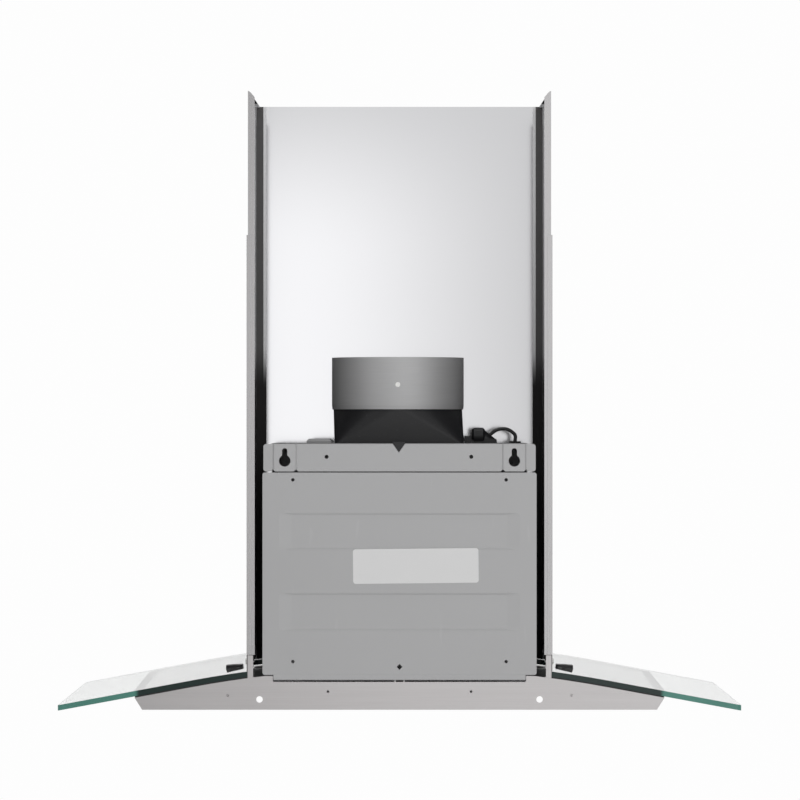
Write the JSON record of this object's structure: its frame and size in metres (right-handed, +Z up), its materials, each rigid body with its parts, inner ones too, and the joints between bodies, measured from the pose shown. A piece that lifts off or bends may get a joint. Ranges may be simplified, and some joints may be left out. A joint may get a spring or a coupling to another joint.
{
  "type": "wall-mount chimney range hood",
  "caption": "Wall-mount chimney range hood: curved glass canopy on a steel body, telescoping chimney cover, boxed blower with round duct collar, grease filters, lamps and push buttons.",
  "frame": {"origin": "in the wall plane, at the middle of the lower edge of the canopy back panel", "axes": "+Z up, +Y towards the wall (the hood projects towards -Y), +X to the right of a person who faces the hood"},
  "size_m": [0.76, 0.5, 0.6887],
  "materials": {
    "stainless": "brushed stainless steel, fine grain",
    "grey_steel": "satin grey coated sheet steel",
    "clear_glass": "polished clear float glass with green edges",
    "black_rubber": "matte black rubber",
    "black_plastic": "fine-grained black moulding",
    "cable_black": "satin black cable sheath",
    "zinc_screws": "bright zinc plate",
    "label_white": "blank white sticker",
    "terminal_white": "off-white moulding",
    "galvanised": "galvanised sheet, satin",
    "wheel_steel": "galvanised wheel",
    "shaft_steel": "ground steel",
    "motor_black": "black enamel",
    "capacitor_case": "white plastic can",
    "flap_plastic": "dark grey moulding",
    "board_green": "green circuit board",
    "button_chrome": "satin chrome",
    "lamp_metal": "satin nickel",
    "lamp_glass": "frosted glass",
    "filter_aluminium": "bare aluminium",
    "latch_black": "black moulding"
  },
  "bodies": {
    "hood": {"blower_box": "grey_steel", "blower_deck": "grey_steel", "blower_motor": "motor_black", "blower_scroll": "galvanised", "box_back_panel": "grey_steel", "canopy_back_panel": "stainless", "canopy_shell": "stainless", "capacitor": "capacitor_case", "capacitor_clip": "galvanised", "chimney_bracket_left": "stainless", "chimney_bracket_right": "stainless", "collar_screws": "zinc_screws", "control_bezel": "black_plastic", "control_board": "board_green", "cover_screws": "zinc_screws", "duct_collar": "galvanised", "filter_tray": "stainless", "flap_pin": "shaft_steel", "glass_canopy": "clear_glass", "glass_clamp_left": "black_plastic", "glass_clamp_right": "black_plastic", "glass_clamp_screws": "zinc_screws", "glass_gasket": "black_rubber", "hanging_bracket": "grey_steel", "inlet_rings": "galvanised", "lamp_housing_left": "lamp_metal", "lamp_housing_right": "lamp_metal", "lamp_lens_left": "lamp_glass", "lamp_lens_right": "lamp_glass", "lead_clip": "black_plastic", "lead_grommet": "black_rubber", "lower_chimney_cover": "stainless", "motor_connector": "black_plastic", "motor_lead": "cable_black", "motor_mount": "galvanised", "motor_mount_screws": "zinc_screws", "rating_label": "label_white", "terminal_block": "terminal_white", "transition_adapter": "black_plastic", "wiring_box": "grey_steel", "wiring_box_cover": "grey_steel", "wiring_cover_screw": "zinc_screws"},
    "upper_cover": {"upper_chimney_cover": "stainless"},
    "wheel": {"impeller": "wheel_steel", "motor_shaft": "shaft_steel"},
    "flap_rear": {"damper_flap_rear": "flap_plastic"},
    "flap_front": {"damper_flap_front": "flap_plastic"},
    "filter_left": {"filter_frame_left": "filter_aluminium", "filter_mesh_left": "filter_aluminium"},
    "filter_right": {"filter_frame_right": "filter_aluminium", "filter_mesh_right": "filter_aluminium"},
    "latch_left": {"filter_latch_left": "latch_black"},
    "latch_right": {"filter_latch_right": "latch_black"},
    "button_light": {"button_light": "button_chrome"},
    "button_power": {"button_power": "button_chrome"},
    "button_low": {"button_low": "button_chrome"},
    "button_medium": {"button_medium": "button_chrome"},
    "button_high": {"button_high": "button_chrome"}
  },
  "joints": [
    {"name": "upper_cover_slide", "type": "slide", "parent": "hood", "child": "upper_cover", "axis": [0, 0, 1], "range_m": [0, 0.4]},
    {"name": "wheel_spin", "type": "hinge", "parent": "hood", "child": "wheel", "pos_m": [0, -0.099, 0.15], "axis": [1, 0, 0], "continuous": true},
    {"name": "rear_flap_swing", "type": "hinge", "parent": "hood", "child": "flap_rear", "pos_m": [0, -0.14, 0.3745], "axis": [1, 0, 0], "range_deg": [0, 75]},
    {"name": "front_flap_swing", "type": "hinge", "parent": "hood", "child": "flap_front", "pos_m": [0, -0.14, 0.3745], "axis": [-1, 0, 0], "range_deg": [0, 75]},
    {"name": "left_filter_tilt", "type": "hinge", "parent": "hood", "child": "filter_left", "pos_m": [0, -0.072, 0.016], "axis": [1, 0, 0], "range_deg": [0, 80]},
    {"name": "left_latch_slide", "type": "slide", "parent": "filter_left", "child": "latch_left", "axis": [0, 1, 0], "range_m": [0, 0.004], "stiffness_N_per_m": 400},
    {"name": "right_filter_tilt", "type": "hinge", "parent": "hood", "child": "filter_right", "pos_m": [0, -0.072, 0.016], "axis": [1, 0, 0], "range_deg": [0, 80]},
    {"name": "right_latch_slide", "type": "slide", "parent": "filter_right", "child": "latch_right", "axis": [0, 1, 0], "range_m": [0, 0.004], "stiffness_N_per_m": 400},
    {"name": "light_press", "type": "slide", "parent": "hood", "child": "button_light", "axis": [0, 1, 0], "range_m": [0, 0.0025], "stiffness_N_per_m": 600},
    {"name": "power_press", "type": "slide", "parent": "hood", "child": "button_power", "axis": [0, 1, 0], "range_m": [0, 0.0025], "stiffness_N_per_m": 600},
    {"name": "low_press", "type": "slide", "parent": "hood", "child": "button_low", "axis": [0, 1, 0], "range_m": [0, 0.0025], "stiffness_N_per_m": 600},
    {"name": "medium_press", "type": "slide", "parent": "hood", "child": "button_medium", "axis": [0, 1, 0], "range_m": [0, 0.0025], "stiffness_N_per_m": 600},
    {"name": "high_press", "type": "slide", "parent": "hood", "child": "button_high", "axis": [0, 1, 0], "range_m": [0, 0.0025], "stiffness_N_per_m": 600}
  ]
}
